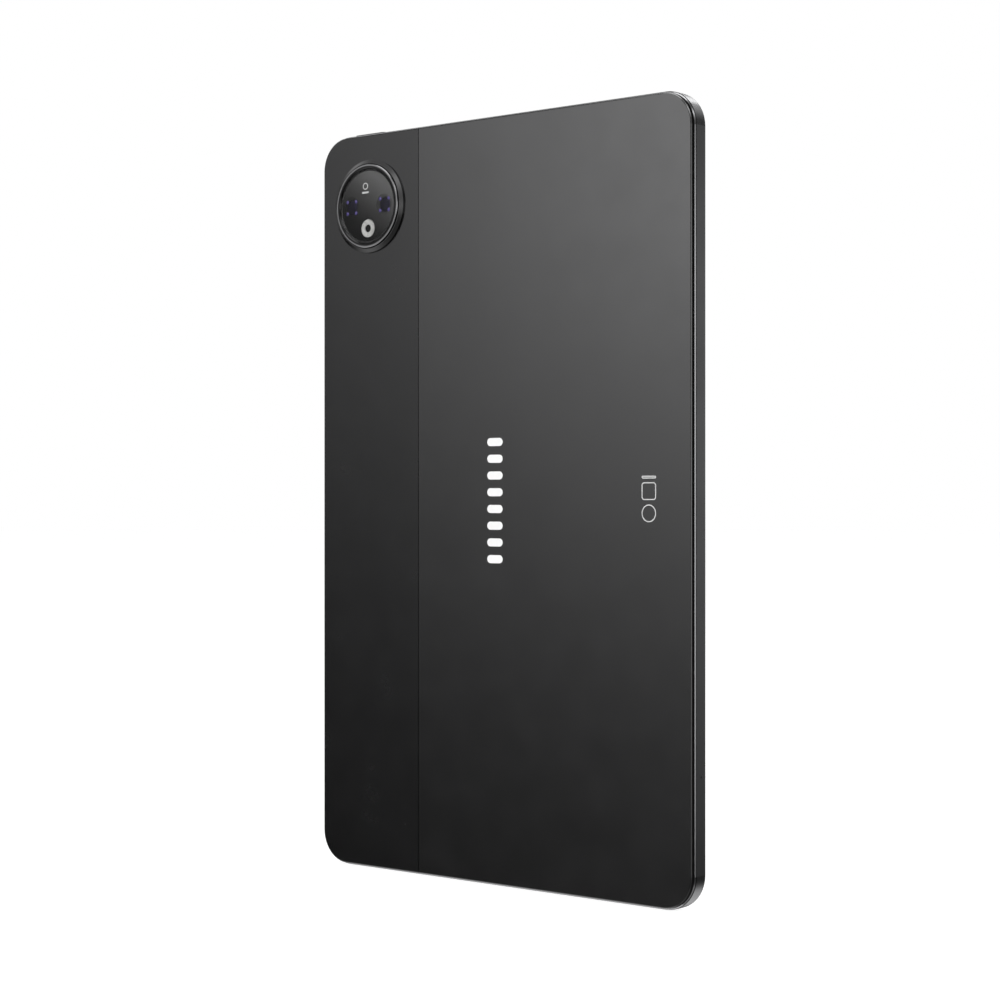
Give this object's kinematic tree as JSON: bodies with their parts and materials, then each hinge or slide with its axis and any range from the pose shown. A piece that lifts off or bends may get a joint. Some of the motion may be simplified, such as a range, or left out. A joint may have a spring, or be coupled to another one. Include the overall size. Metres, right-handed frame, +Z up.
{
  "type": "tablet computer",
  "caption": "Slim tablet computer with a glass front, two-tone metal back, round raised camera island, side buttons, charging port and pull-out card tray.",
  "frame": {"origin": "middle of the lower short edge, halfway through the thickness of the body", "axes": "+Z up the long edges, -Y out of the screen, +Y out of the rear cover, +X towards the long edge with the buttons"},
  "size_m": [0.1611, 0.0092, 0.2572],
  "materials": {
    "frame_metal": "fine bead-blasted, dark anodised, with a polished rear chamfer",
    "cover_metal": "satin dark grey anodised",
    "strip_finish": "satin darker grey, painted",
    "black_trim": "moulded black",
    "screen_glass": "polished, black behind",
    "black_print": "printed black",
    "black_foam": "matt foam tape",
    "sensor_film": "clear laminated film",
    "panel_glass": "polished dark glass",
    "white_film": "white film",
    "clear_acrylic": "clear acrylic",
    "flex_gold": "polyimide ribbon",
    "tray_steel": "bright rolled sheet",
    "plate_alloy": "chromate coated sheet",
    "screw_black": "black zinc",
    "screw_steel": "nickel plated",
    "camera_black": "matt black",
    "island_metal": "satin dark grey anodised",
    "rim_metal": "dark anodised with diamond-cut edges",
    "lens_cover_glass": "polished smoked glass",
    "lens_glass": "coated lens",
    "flash_white": "translucent white",
    "bracket_steel": "stamped sheet",
    "board_green": "solder mask",
    "chip_black": "moulded epoxy",
    "shield_steel": "tinned sheet",
    "connector_cream": "moulded",
    "graphite": "graphite foil",
    "port_steel": "deep drawn, nickel plated",
    "port_plastic": "moulded black",
    "cell_foil": "black laminated foil pouch",
    "speaker_plastic": "moulded black",
    "mesh_steel": "black fine mesh",
    "mic_metal": "gold plated can",
    "antenna_copper": "plated trace",
    "switch_steel": "snap dome",
    "button_metal": "fine bead-blasted, dark anodised",
    "tray_metal": "fine bead-blasted, dark anodised",
    "red_silicone": "moulded silicone"
  },
  "bodies": {
    "tablet": {"frame": "frame_metal", "rear_cover": "cover_metal", "antenna_cover": "strip_finish", "rear_seam_ring": "black_trim", "front_bezel_ring": "black_trim", "cover_glass": "screen_glass", "glass_border_print": "black_print", "display_adhesive": "black_foam", "touch_sensor": "sensor_film", "lcd_panel": "panel_glass", "optical_films": "white_film", "light_guide": "clear_acrylic", "reflector": "white_film", "backlight_strip": "flex_gold", "display_tray": "tray_steel", "display_foam": "black_foam", "display_flex": "flex_gold", "midplate": "plate_alloy", "midplate_screws": "screw_black", "front_camera": "camera_black", "front_camera_seal": "black_foam", "light_sensor": "camera_black", "camera_base_ring": "island_metal", "camera_gasket": "black_trim", "camera_rim": "rim_metal", "camera_glass": "lens_cover_glass", "camera_mask": "black_print", "main_camera": "camera_black", "main_camera_lens": "lens_glass", "second_camera": "camera_black", "second_camera_lens": "lens_glass", "flash_diffuser": "flash_white", "flash_led": "camera_black", "camera_bracket": "bracket_steel", "camera_screws": "screw_black", "main_board": "board_green", "main_chips": "chip_black", "shield_cans": "shield_steel", "board_connectors": "connector_cream", "heat_spreader": "graphite", "sub_board": "board_green", "usb_receptacle": "port_steel", "usb_tongue": "port_plastic", "board_screws": "screw_steel", "link_flex": "flex_gold", "battery_cell_a": "cell_foil", "battery_cell_b": "cell_foil", "battery_board": "board_green", "battery_tape": "white_film", "speakers": "speaker_plastic", "speaker_mesh": "mesh_steel", "microphones": "mic_metal", "antennas": "antenna_copper", "button_switches": "switch_steel", "button_flex": "flex_gold", "card_reader": "shield_steel"},
    "power_button": {"power_button": "button_metal"},
    "volume_rocker": {"volume_rocker": "button_metal"},
    "card_tray": {"card_tray": "tray_metal", "card_tray_seal": "red_silicone"}
  },
  "joints": [
    {"name": "power_press", "type": "slide", "parent": "tablet", "child": "power_button", "axis": [0, 0, -1], "range_m": [0, 0.0003], "stiffness_N_per_m": 6000},
    {"name": "volume_rock", "type": "hinge", "parent": "tablet", "child": "volume_rocker", "pos_m": [0.07745, -0.0001, 0.1968], "axis": [0, 1, 0], "range_deg": [-1.4, 1.4], "stiffness_Nm_per_rad": 0.5},
    {"name": "card_tray_slide", "type": "slide", "parent": "tablet", "child": "card_tray", "axis": [1, 0, 0], "range_m": [0, 0.026]}
  ]
}
